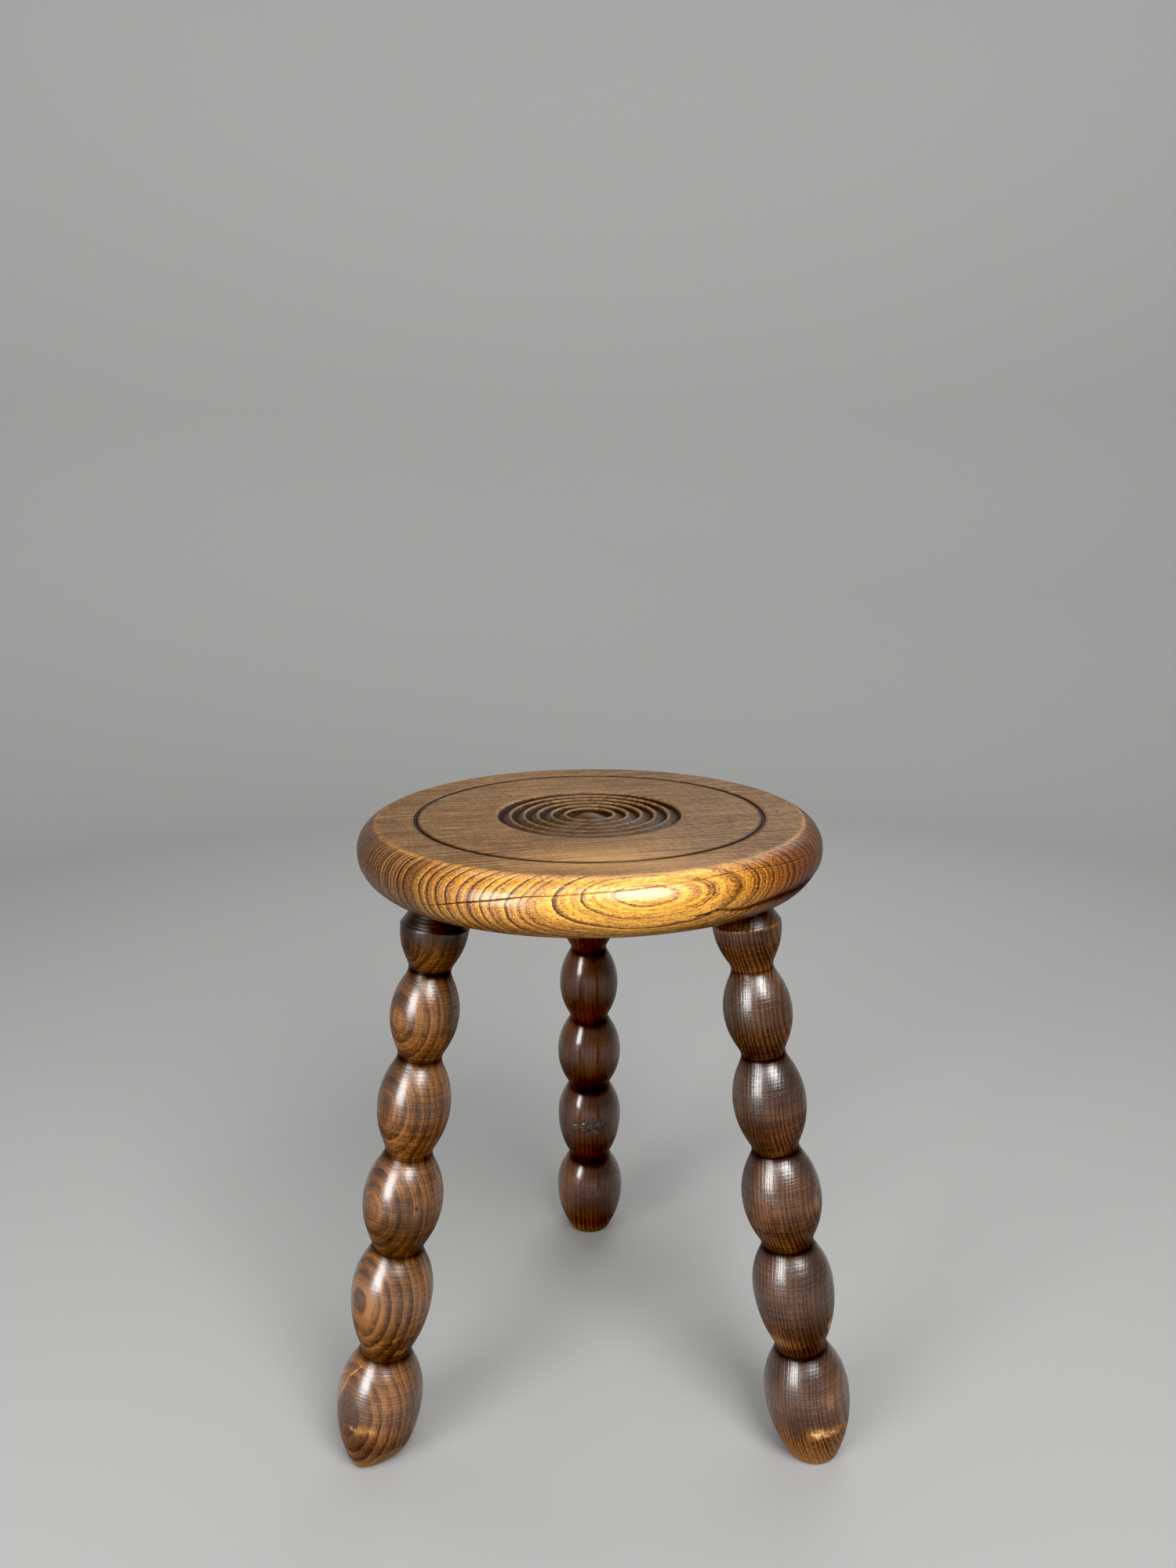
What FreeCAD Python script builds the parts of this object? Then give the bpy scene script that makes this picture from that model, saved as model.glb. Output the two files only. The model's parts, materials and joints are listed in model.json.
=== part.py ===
import FreeCAD, Part
import math
import os

# Three-legged bobbin stool: a turned round seat on three splayed, turned legs glued into its underside.
# Millimetres, +Z up, floor at Z 0, rear leg toward +Y, origin at the bottom centre of the bounding box.

# Seat board, and how far its rounded rim runs in over the top and under the bottom
seat_diameter = 300.0
seat_thickness = 34.0
rim_inset_top = 14.0
rim_inset_bottom = 9.0

# Thin ring groove on the seat's top, measured in from the widest line of the rim
groove_inset = 37.7
groove_width = 2.6
groove_depth = 1.4

# Carved rosette: concentric coves, whose crests stand just below the seat's top
rosette_radius = 60.0
inner_crest_radius = 15.5
cove_count = 5
cove_depth = 2.8
crest_drop = 0.4

# Small rounded button in the middle of the rosette
button_radius = 4.5
button_flat_radius = 1.5
button_drop = 0.5
button_height = 0.8
button_bulge = 0.2

# Legs: names, lean, and where each axis meets the seat's underside, in from the rim's widest line
leg_names = ["leg_rear", "leg_left", "leg_right"]
rear_azimuth = 90.0
leg_lean = 9.15
socket_inset = 43.0

# Bobbins from the foot up: height, widest radius, share of the height below the widest place,
# and radius of the neck above
foot_radius = 15.8
bobbins = [
    (76.2, 27.6, 0.58, 15.9),
    (72.3, 26.1, 0.585, 15.8),
    (64.4, 25.5, 0.5, 14.4),
    (63.2, 23.2, 0.5, 13.2),
    (56.3, 21.7, 0.5, 12.5),
]

# Half-bobbin cup above the bobbins, the cone over its sharp ring, and the bare neck under the seat
cup_height = 28.1
cup_radius = 21.45
cone_height = 14.7
neck_length = 8.0

# Round tenon in a blind mortise, with the wood left above it and the room for glue
tenon_radius = 13.0
tenon_chamfer = 1.5
mortise_cover = 9.0
glue_clearance = 0.1
glue_pocket = 1.0

# Worked-out sizes
seat_radius = seat_diameter / 2
cove_width = (rosette_radius - inner_crest_radius) / cove_count
lean = math.radians(leg_lean)
leg_length = sum(height for height, *_ in bobbins) + cup_height + cone_height + neck_length
underside_z = leg_length * math.cos(lean)
foot_circle_radius = seat_radius - socket_inset + leg_length * math.sin(lean)
foot_overlength = 2 * foot_radius * math.tan(lean)
mortise_radius = tenon_radius + glue_clearance
mortise_depth = (seat_thickness - mortise_cover - mortise_radius * math.sin(lean)) / math.cos(lean)
tenon_length = mortise_depth - glue_pocket


def line(start, end):
    """Straight edge between two (radius, height) points of a turned outline."""
    return Part.makeLine(FreeCAD.Vector(start[0], 0, start[1]), FreeCAD.Vector(end[0], 0, end[1]))


def arc(start, middle, end):
    """Circular edge through three (radius, height) points of a turned outline."""
    points = [FreeCAD.Vector(radius, 0, height) for radius, height in (start, middle, end)]
    return Part.Arc(*points).toShape()


def swell_radius(height, narrow, widest):
    """Radius at a height on the circle that stands upright at one point and passes through another."""
    run = narrow[1] - widest[1]
    fall = widest[0] - narrow[0]
    circle_radius = (run ** 2 + fall ** 2) / (2 * fall)
    return widest[0] - circle_radius + math.sqrt(circle_radius ** 2 - (height - widest[1]) ** 2)


def swell(start, end):
    """Half of a swelling's outline, which stands upright at the wider of its two ends."""
    narrow, widest = sorted([start, end])
    height = (start[1] + end[1]) / 2
    return arc(start, (swell_radius(height, narrow, widest), height), end)


def cove(outer, inner, depth):
    """Hollow between two points of the seat's top, sunk by a depth below their middle."""
    bottom = ((outer[0] + inner[0]) / 2, (outer[1] + inner[1]) / 2 - depth)
    return arc(outer, bottom, inner)


def turned(edges):
    """Solid turned about the Z axis from a closed outline that runs along it."""
    face = Part.Face(Part.Wire(edges))
    return face.revolve(FreeCAD.Vector(0, 0, 0), FreeCAD.Vector(0, 0, 1), 360)


def seat_outline():
    """Outline of the seat from the middle of its underside round the rim to the middle of its top."""
    top_z = underside_z + seat_thickness
    underside_edge = (seat_radius - rim_inset_bottom, underside_z)
    rim = (seat_radius, underside_z + seat_thickness / 2)
    top_edge = (seat_radius - rim_inset_top, top_z)
    groove_outer = (seat_radius - groove_inset + groove_width / 2, top_z)
    groove_inner = (groove_outer[0] - groove_width, top_z)
    crest = (rosette_radius, top_z)
    edges = [
        line((0, underside_z), underside_edge),
        swell(underside_edge, rim),
        swell(rim, top_edge),
        line(top_edge, groove_outer),
        cove(groove_outer, groove_inner, groove_depth),
        line(groove_inner, crest),
    ]
    for number in range(cove_count):
        next_crest = (crest[0] - cove_width, top_z - crest_drop)
        edges.append(cove(crest, next_crest, cove_depth))
        crest = next_crest
    button_top = (button_flat_radius, top_z - button_drop)
    button_foot = (button_radius, button_top[1] - button_height)
    edges += [
        cove(crest, button_foot, cove_depth),
        cove(button_foot, button_top, -button_bulge),
        line(button_top, (0, button_top[1])),
        line((0, button_top[1]), (0, underside_z)),
    ]
    return edges


def leg_outline():
    """Outline of an upright leg from its foot, left over-long below Z 0, to the top of its tenon."""
    foot_height, foot_widest_radius, foot_share, _ = bobbins[0]
    foot_edge = (foot_radius, 0)
    foot_widest = (foot_widest_radius, foot_share * foot_height)
    foot_end = (swell_radius(-foot_overlength, foot_edge, foot_widest), -foot_overlength)
    edges = [line((0, -foot_overlength), foot_end), arc(foot_end, foot_edge, foot_widest)]
    base = 0.0
    for height, widest_radius, share, neck_radius in bobbins:
        widest = (widest_radius, base + share * height)
        if base > 0:
            edges.append(swell(neck, widest))
        base += height
        neck = (neck_radius, base)
        edges.append(swell(widest, neck))

    ring = (cup_radius, base + cup_height)
    cone_top = (tenon_radius, ring[1] + cone_height)
    tenon_end = leg_length + tenon_length
    chamfer_start = (tenon_radius, tenon_end - tenon_chamfer)
    chamfer_end = (tenon_radius - tenon_chamfer, tenon_end)
    edges += [
        swell(neck, ring),
        line(ring, cone_top),
        line(cone_top, chamfer_start),
        line(chamfer_start, chamfer_end),
        line(chamfer_end, (0, tenon_end)),
        line((0, tenon_end), (0, -foot_overlength)),
    ]
    return edges


def splayed(upright):
    """An upright shape leaned in toward the stool's axis, with its Z 0 point on the foot circle."""
    leaned = upright.copy()
    leaned.rotate(FreeCAD.Vector(0, 0, 0), FreeCAD.Vector(0, 1, 0), -leg_lean)
    leaned.translate(FreeCAD.Vector(foot_circle_radius, 0, 0))
    return leaned


def make_leg():
    """One leg leaned into place over the X axis, with its foot sawn level with the floor."""
    waste_corner = FreeCAD.Vector(0, -foot_circle_radius, -foot_circle_radius)
    waste = Part.makeBox(2 * foot_circle_radius, 2 * foot_circle_radius, foot_circle_radius, waste_corner)
    return splayed(turned(leg_outline())).cut(waste)


def make_mortise():
    """Wood cut out for the tenon of that leg, from below the seat so that the mouth is clean."""
    start = FreeCAD.Vector(0, 0, leg_length - mortise_radius)
    return splayed(Part.makeCylinder(mortise_radius, mortise_radius + mortise_depth, start))


def around_axis(shape, azimuth):
    """A copy of a shape turned about the stool's axis."""
    copy = shape.copy()
    copy.rotate(FreeCAD.Vector(0, 0, 0), FreeCAD.Vector(0, 0, 1), azimuth)
    return copy


def make_stool():
    """Every piece of the stool by name, around the seat's axis."""
    azimuths = [rear_azimuth + number * 360 / len(leg_names) for number in range(len(leg_names))]
    mortises = [around_axis(make_mortise(), azimuth) for azimuth in azimuths]
    pieces = {"seat": turned(seat_outline()).cut(mortises)}
    for name, azimuth in zip(leg_names, azimuths):
        pieces[name] = around_axis(make_leg(), azimuth)
    return pieces


stool = make_stool()
box = Part.makeCompound(list(stool.values())).optimalBoundingBox(False)
to_origin = FreeCAD.Vector(-box.Center.x, -box.Center.y, -box.ZMin)
print("seat axis at", to_origin)

os.makedirs("parts", exist_ok=True)
for name, piece in stool.items():
    piece.translate(to_origin)
    solid = piece.Solids[0]
    solid.exportStep(f"parts/{name}.step")
    print(name, len(piece.Solids), solid.isValid(), round(solid.Volume))
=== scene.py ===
import json
import math

import bpy
import numpy as np
from mathutils import Matrix, Vector
from mathutils.geometry import delaunay_2d_cdt


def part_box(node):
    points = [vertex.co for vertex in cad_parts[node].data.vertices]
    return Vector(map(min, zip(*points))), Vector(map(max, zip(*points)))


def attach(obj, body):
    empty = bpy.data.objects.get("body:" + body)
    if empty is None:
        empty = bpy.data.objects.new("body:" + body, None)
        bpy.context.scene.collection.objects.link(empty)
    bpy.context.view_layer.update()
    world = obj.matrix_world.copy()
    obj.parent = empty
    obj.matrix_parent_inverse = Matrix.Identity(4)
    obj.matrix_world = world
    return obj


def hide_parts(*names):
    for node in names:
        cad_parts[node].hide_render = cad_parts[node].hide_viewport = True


# Looks of a three-legged bobbin stool: a turned seat and three turned legs, worn and waxed.
# Shapes are worked out in millimetres in the frame's axes and scaled to metres when a mesh is made.
MILLIMETRES = 1000.0

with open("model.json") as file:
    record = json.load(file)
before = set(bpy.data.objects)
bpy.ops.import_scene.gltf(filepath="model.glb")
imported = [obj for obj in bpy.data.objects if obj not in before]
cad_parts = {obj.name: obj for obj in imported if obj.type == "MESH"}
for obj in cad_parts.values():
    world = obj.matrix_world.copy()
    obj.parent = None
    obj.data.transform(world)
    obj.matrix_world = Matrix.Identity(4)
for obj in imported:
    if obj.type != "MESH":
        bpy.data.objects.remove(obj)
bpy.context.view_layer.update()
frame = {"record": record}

# Seat, from the box of its node
seat_low, seat_high = (MILLIMETRES * np.array(corner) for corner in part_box("seat"))
axis_place = (seat_low + seat_high)[:2] / 2
seat_radius = min(seat_high[:2] - seat_low[:2]) / 2
top_z = seat_high[2]
underside_z = seat_low[2]
rim_z = (top_z + underside_z) / 2
rim_inset_top = 14.0
rim_inset_bottom = 9.0

# Ring groove and rosette on the seat's top; a cove lean above 1 makes its outer wall the steeper one
groove_radius = seat_radius - 37.7
groove_width = 2.6
groove_depth = 1.4
rosette_radius = 60.0
inner_crest_radius = 15.5
cove_count = 5
cove_depth = 2.8
cove_lean = 1.9
crest_drop = 0.4
button_radius = 4.5
button_flat_radius = 1.5
button_drop = 0.5
button_height = 0.8

# Legs: bobbins from the foot up as height, widest radius, share of the height below the widest place,
# and radius of the neck above
foot_radius = 15.8
bobbins = [
    (76.2, 27.6, 0.58, 15.9),
    (72.3, 26.1, 0.585, 15.8),
    (64.4, 25.5, 0.5, 14.4),
    (63.2, 23.2, 0.5, 13.2),
    (56.3, 21.7, 0.5, 12.5),
]
cup_height = 28.1
cup_radius = 21.45
cone_height = 14.7
neck_length = 8.0
tenon_radius = 13.0
tenon_chamfer = 1.5
glue_clearance = 0.1
glue_pocket = 1.0
mortise_cover = 9.0

# Soft necks: slope of the bobbins there, how wide the softening is, the share of it that cuts into the
# wood, and how far it reaches along the leg
neck_slope = 0.8
neck_softness = 4.5
neck_cut_share = 0.75
neck_reach = 8.0

# Foot: how high its rows bend to the floor, and the worn round edge there
foot_bend_height = 14.0
foot_round_height = 2.0
foot_round_depth = 1.1

# Worked-out leg sizes
neck_heights = np.cumsum([height for height, *_ in bobbins])
ring_height = neck_heights[-1] + cup_height
leg_length = ring_height + cone_height + neck_length
lean = math.acos(underside_z / leg_length)
mortise_radius = tenon_radius + glue_clearance
mortise_depth = (top_z - underside_z - mortise_cover - mortise_radius * math.sin(lean)) / math.cos(lean)
tenon_end = leg_length + mortise_depth - glue_pocket

# Middle of each leg's foot on the floor, from the mounts in the frame's record
foot_points = {
    mount["name"].replace("foot", "leg"): MILLIMETRES * np.array(mount["pos_m"])
    for mount in frame["record"]["mounts"]
    if mount["name"].startswith("foot_")
}

# Growth layers of the seat board: plan direction across them, their tilt at the middle and the left end and
# where along the grain it changes, the edge of the outermost known layer, and the widths from there inward
layer_azimuth = math.radians(-77.8)
layer_tilt_middle = math.radians(28.0)
layer_tilt_left = math.radians(6.0)
tilt_change = (-75.0, -22.0)
outer_layer = 150.8
front_layer_widths = [3.9, 5.6, 6.0, 1.8, 4.0, 4.9, 3.2, 5.0, 4.2, 5.9, 5.0, 5.3, 4.3, 5.9, 6.1, 5.4]

# Crack along the rim's front: azimuth in degrees, distance below the top edge, half of its width
rim_crack = np.array([
    (-180.0, 24.0, 0.0), (-130.0, 30.0, 0.0), (-126.7, 28.8, 0.25), (-118.8, 23.6, 0.45),
    (-108.4, 18.1, 0.5), (-104.3, 16.0, 0.22), (-89.4, 12.7, 0.16), (-75.3, 10.2, 0.18),
    (-66.7, 9.5, 0.24), (-60.3, 8.6, 0.36), (-53.4, 9.0, 0.3), (-42.9, 12.2, 0.28),
    (-37.1, 13.5, 0.2), (-30.0, 15.0, 0.0), (180.0, 24.0, 0.0),
])
crack_depth = 2.2

# Dark streak low on the rim's right, a shallow groove whose wide right part is painted shade, measured in the
# same way
rim_streak = np.array([
    (-180.0, 30.0, 0.0), (-72.0, 30.5, 0.0), (-66.6, 30.1, 0.6), (-62.1, 28.7, 0.8), (-56.3, 32.0, 1.2),
    (-48.3, 30.8, 2.2), (-43.0, 31.0, 3.4), (-36.0, 32.5, 5.0), (-28.0, 34.0, 5.5), (-15.0, 36.0, 4.0),
    (0.0, 36.0, 0.0), (180.0, 36.0, 0.0),
])
streak_depth = 0.7

# Darkness across one growth layer, as (share of the layer, darkness): thin lines of pores in the seat,
# and broad soft bands in the legs
seat_band = [
    (0.0, 0.9), (0.05, 0.9), (0.1, 0.25), (0.14, 0.4), (0.21, 0.12), (0.55, 0.03), (0.95, 0.0), (1.0, 0.7),
]
leg_band = [(0.0, 1.0), (0.15, 0.95), (0.45, 0.35), (0.75, 0.05), (0.92, 0.0), (1.0, 0.8)]

# Colours of rubbed wood and of painted light, of wood without its varnish, and of dirt and painted shade
seat_worn_and_lit_colour = (0.50, 0.27, 0.09)
seat_dirt_and_shade_colour = (0.016, 0.009, 0.0055)
leg_worn_and_lit_colour = (0.26, 0.11, 0.032)
leg_bare_colour = (0.55, 0.35, 0.16)
leg_dirt_and_shade_colour = (0.007, 0.0035, 0.002)

# Short checks in the seat's top, as plan places around its axis, and their width
top_checks = [((-60.9, 56.5), (-52.0, 44.3)), ((9.5, 125.0), (15.0, 123.6))]
check_width = 0.8

# Mesh fineness
seat_columns = 480
mortise_columns = 48
leg_columns = 144
leg_row_height = 0.7

# Radius at which the unevenness of a leg is worked out
wave_radius = 30.0


def waves(places, size, seed):
    """Smooth unevenness from about -1 to 1 at some places, with swells of the given size."""
    random = np.random.default_rng(seed)
    total = np.zeros(places.shape[:-1])
    for _ in range(8):
        direction = random.normal(size=places.shape[-1])
        direction *= 2 * math.pi / (size * np.linalg.norm(direction))
        total += np.sin(places @ direction + random.uniform(0, 2 * math.pi))
    return total / 4


def smooth_step(value, low, high):
    """0 below the low value, 1 above the high one, and a smooth rise between them."""
    share = np.clip((value - low) / (high - low), 0, 1)
    return share * share * (3 - 2 * share)


def path_gap(across, along, path):
    """Distance from places on a surface to a path over it."""
    places = np.stack([across, along], axis=-1)
    gap = np.full(across.shape, np.inf)
    for start, end in zip(path, path[1:]):
        step = np.subtract(end, start)
        share = np.clip(((places - start) @ step) / (step @ step), 0, 1)
        gap = np.minimum(gap, np.linalg.norm(places - start - share[..., None] * step, axis=-1))
    return gap


def layer_count(depth, edges):
    """Number of growth layers passed at a depth, where the edges of the layers are known."""
    return np.interp(depth, edges, np.arange(len(edges)))


def swell_radius(height, narrow, widest):
    """Radius at some heights on the circle that stands upright at one point and passes through another."""
    run = narrow[1] - widest[1]
    fall = widest[0] - narrow[0]
    circle_radius = (run ** 2 + fall ** 2) / (2 * fall)
    drop = np.sqrt(np.maximum(circle_radius ** 2 - (height - widest[1]) ** 2, 0))
    return widest[0] - circle_radius + drop


def cove(inner, outer, depth, count, lean_out=1.0):
    """Points of a round hollow between two (radius, height) points, without its outer end."""
    place = np.linspace(0, 1, count, endpoint=False)
    half = (outer[0] - inner[0]) / 2
    circle_radius = (half ** 2 + depth ** 2) / (2 * depth)
    off_middle = half * (2 * place ** lean_out - 1)
    sag = np.sqrt(circle_radius ** 2 - off_middle ** 2) - (circle_radius - depth)
    chord = inner[1] + (outer[1] - inner[1]) * place
    return [tuple(point) for point in np.stack([inner[0] + 2 * half * place, chord - sag], axis=-1)]


def grid_faces(rows, columns, turned_over=False):
    """Four-sided faces of a closed band of rows, whose points are numbered row by row."""
    row, column = np.meshgrid(np.arange(rows - 1), np.arange(columns), indexing="ij")
    here = row * columns + column
    beside = row * columns + (column + 1) % columns
    faces = np.stack([here, beside, beside + columns, here + columns], axis=-1).reshape(-1, 4)
    return (faces[:, ::-1] if turned_over else faces).tolist()


def fan_faces(centre, ring, turned_over=False):
    """Triangles between a centre point and a closed ring of points."""
    pairs = zip(ring, ring[1:] + ring[:1])
    if turned_over:
        return [(centre, after, before) for before, after in pairs]
    return [(centre, before, after) for before, after in pairs]


def make_mesh(name, points, faces, attributes, material):
    """A smooth-shaded object from points in millimetres, with named values at its points."""
    mesh = bpy.data.meshes.new(name)
    mesh.from_pydata((np.asarray(points) / MILLIMETRES).tolist(), [], faces)
    mesh.polygons.foreach_set("use_smooth", [True] * len(mesh.polygons))
    for key, values in attributes.items():
        values = np.asarray(values, np.float32)
        kind, field = ("FLOAT_VECTOR", "vector") if values.ndim == 2 else ("FLOAT", "value")
        mesh.attributes.new(key, kind, "POINT").data.foreach_set(field, values.ravel())
    mesh.materials.append(material)
    piece = bpy.data.objects.new(name, mesh)
    bpy.context.scene.collection.objects.link(piece)
    return piece


def leg_directions(foot):
    """A leg's directions from its foot point: up its axis, outward across it, and sideways."""
    plan = np.append(foot[:2] - axis_place, 0)
    plan /= np.linalg.norm(plan)
    upright = np.array([0, 0, 1])
    axis = math.cos(lean) * upright - math.sin(lean) * plan
    outward = math.cos(lean) * plan + math.sin(lean) * upright
    return axis, outward, np.cross(axis, outward)


class Look:
    """A material under construction, with short ways to add its shader nodes."""

    def __init__(self, name):
        self.material = bpy.data.materials.new(name)
        self.material.use_nodes = True
        self.tree = self.material.node_tree
        self.tree.nodes.clear()

    def add(self, kind, inputs=None, **settings):
        node = self.tree.nodes.new("ShaderNode" + kind)
        for key, value in settings.items():
            setattr(node, key, value)
        for key, value in (inputs or {}).items():
            if isinstance(value, bpy.types.NodeSocket):
                self.tree.links.new(value, node.inputs[key])
            else:
                node.inputs[key].default_value = value
        return node

    def math(self, operation, *values):
        return self.add("Math", dict(enumerate(values)), operation=operation).outputs[0]

    def times(self, first, second):
        return self.math("MULTIPLY", first, second)

    def rest(self, share):
        """What a share leaves of 1."""
        return self.math("SUBTRACT", 1.0, share)

    def total(self, *terms, start=0.0):
        """Sum of (socket, weight) pairs and a constant to start from."""
        result = start
        for socket, weight in terms:
            result = self.math("MULTIPLY_ADD", socket, weight, result)
        return result

    def value(self, name):
        return self.add("Attribute", attribute_name=name).outputs["Fac"]

    def vector(self, name):
        return self.add("Attribute", attribute_name=name).outputs["Vector"]

    def noise(self, places, scale, detail=2.0, roughness=0.5):
        """Cloudy pattern from 0 to 1 with its own scale along each direction, per millimetre."""
        stretched = self.add("VectorMath", {0: places, 1: scale}, operation="MULTIPLY").outputs[0]
        inputs = {"Vector": stretched, "Scale": 1.0, "Detail": detail, "Roughness": roughness}
        return self.add("TexNoise", inputs).outputs["Fac"]

    def line_noise(self, place, scale, detail=2.0):
        """Cloudy pattern along one direction only."""
        scaled = self.times(place, scale)
        node = self.add("TexNoise", {"W": scaled, "Scale": 1.0, "Detail": detail}, noise_dimensions="1D")
        return node.outputs["Fac"]

    def between(self, value, low, high):
        """0 below the low value and 1 above the high one."""
        inputs = {"Value": value, "From Min": low, "From Max": high}
        return self.add("MapRange", inputs, interpolation_type="SMOOTHSTEP").outputs["Result"]

    def ramp(self, value, *stops):
        node = self.add("ValToRGB", {"Fac": value})
        elements = node.color_ramp.elements
        while len(elements) < len(stops):
            elements.new(1.0)
        for element, (position, colour) in zip(elements, stops):
            element.position = position
            element.color = (*colour, 1.0) if isinstance(colour, tuple) else (colour, colour, colour, 1.0)
        return node.outputs["Color"]

    def mix(self, share, first, second):
        inputs = {0: share}
        for number, value in ((6, first), (7, second)):
            inputs[number] = value if isinstance(value, bpy.types.NodeSocket) else (*value, 1.0)
        return self.add("Mix", inputs, data_type="RGBA").outputs[2]

    def finish(self, colour, roughness, height, skin, gloss, coat_roughness, coat_ior):
        """Wood with its own relief, under a coat of varnish or wax with another; both in millimetres."""
        bump = self.add("Bump", {"Height": height, "Distance": 1 / MILLIMETRES, "Strength": 1.0})
        coat_bump = self.add("Bump", {"Height": skin, "Distance": 1 / MILLIMETRES, "Strength": 1.0})
        shader = self.add("BsdfPrincipled", {
            "Base Color": colour, "Roughness": roughness, "Normal": bump.outputs[0],
            "IOR": 1.48, "Specular IOR Level": self.times(gloss, 0.3),
            "Coat Weight": gloss, "Coat Roughness": coat_roughness, "Coat IOR": coat_ior,
            "Coat Normal": coat_bump.outputs[0],
        })
        self.add("OutputMaterial", {"Surface": shader.outputs[0]})
        return self.material


def wood_grain(look):
    """Place in the solid wood, and how far along the grain it is."""
    grain = look.vector("grain")
    return grain, look.add("SeparateXYZ", {0: grain}).outputs[0]


def wood_figure(look, grain, along, fuzz, pore_scale, sway_share, band_stops, stretch=1.0, number_shift=0):
    """Patterns of solid wood, each from 0 to 1: growth bands, growth lines, pores and fibres.

    The band stops shade one growth layer from one edge to the other; a stretch below 1 widens its dark part.
    The number shift chooses which layers are strong and which are faint."""
    ragged = look.noise(grain, (0.15, 2.0, 2.0), 2.0, 0.6)
    sway = look.noise(grain, (0.012, 0.07, 0.07), 2.0)
    middle = (sway_share + fuzz) / 2
    place = look.total((look.value("ring"), 1.0), (sway, sway_share), (ragged, fuzz), start=-middle)
    share = look.times(look.math("FRACT", place), stretch)
    number = look.math("ADD", look.math("FLOOR", place), number_shift)
    strength = look.add("TexWhiteNoise", {"W": number}, noise_dimensions="1D").outputs["Value"]
    broken = look.between(look.noise(grain, (0.3, 1.3, 1.3), 1.0), 0.3, 0.6)
    strength = look.math("MULTIPLY_ADD", strength, 0.6, 0.4)
    strength = look.times(strength, look.math("MULTIPLY_ADD", broken, 0.5, 0.5))
    band = look.times(look.ramp(share, *band_stops), strength)
    line_place = look.add("CombineXYZ", {0: along, 1: place}).outputs[0]
    lines = look.between(look.noise(line_place, (0.02, 6.0, 1.0), 3.0, 0.6), 0.3, 0.7)
    pores = look.between(look.noise(grain, pore_scale, 1.0), 0.54, 0.64)
    pores = look.times(pores, look.math("MULTIPLY_ADD", band, 0.7, 0.3))
    fibres = look.between(look.noise(grain, (0.012, 1.1, 1.1), 4.0, 0.7), 0.3, 0.7)
    return band, lines, pores, fibres


def check_line(look, grain, start, end, width):
    """A straight mark on the seat's top between two places of the grain: 1 on it and 0 beside it."""
    step = np.subtract(end, start)
    length = float(np.linalg.norm(step))
    way = step / length
    offset = look.add("VectorMath", {0: grain, 1: (*start, 0.0)}, operation="SUBTRACT").outputs[0]
    along = look.add("VectorMath", {0: offset, 1: (*way, 0.0)}, operation="DOT_PRODUCT").outputs["Value"]
    sideways = (-way[1], way[0], 0.0)
    across = look.add("VectorMath", {0: offset, 1: sideways}, operation="DOT_PRODUCT").outputs["Value"]
    beside = look.between(look.math("ABSOLUTE", across), 0.3 * width, width)
    from_middle = look.math("ABSOLUTE", look.math("SUBTRACT", along, length / 2))
    beyond = look.between(from_middle, 0.4 * length, 0.5 * length)
    return look.rest(look.math("MAXIMUM", beside, beyond))


def rim_colour(look, tone, right_end, dirt_and_shade, end):
    """Golden wood, redder to the right and in places of dirt and painted shade, and greyed by a painted
    reflection where the rim shows end grain.
    """
    golden = look.ramp(tone, (0.0, (0.70, 0.36, 0.048)), (0.25, (0.48, 0.225, 0.032)),
                       (0.55, (0.20, 0.074, 0.011)), (0.95, (0.038, 0.012, 0.003)))
    reddish = look.ramp(tone, (0.0, (0.26, 0.058, 0.005)), (0.4, (0.125, 0.026, 0.002)),
                        (1.0, (0.020, 0.005, 0.001)))
    reflection_greyed = look.ramp(tone, (0.0, (0.16, 0.075, 0.032)), (0.5, (0.078, 0.036, 0.015)),
                       (1.0, (0.018, 0.008, 0.004)))
    colour = look.mix(look.total((right_end, 0.85), (dirt_and_shade, 0.35)), golden, reddish)
    # Painted reflection: greyed colour where the rim shows end grain
    return look.mix(look.times(look.between(end, 0.5, 1.0), 0.8), colour, reflection_greyed)


def top_colour(look, tone, grain):
    """Dull brown wood with pale flecks along the grain."""
    brown = look.ramp(tone, (0.0, (0.195, 0.106, 0.044)), (0.35, (0.118, 0.063, 0.027)),
                      (1.0, (0.036, 0.018, 0.009)))
    flecks = look.between(look.noise(grain, (0.05, 0.4, 0.4), 1.0), 0.58, 0.68)
    return look.mix(look.times(flecks, 0.3), brown, (0.31, 0.18, 0.074))


def seat_grime_and_shade(look, grain, patina, dirt_and_shade, fibres):
    grime_and_shade = look.between(look.total((dirt_and_shade, 1.0), (fibres, 0.15)), 0.15, 1.1)
    for places in top_checks:
        check = check_line(look, grain, *seat_plan(np.array(places)), check_width)
        grime_and_shade = look.math("MAXIMUM", grime_and_shade, look.times(check, patina))
    return grime_and_shade


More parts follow.
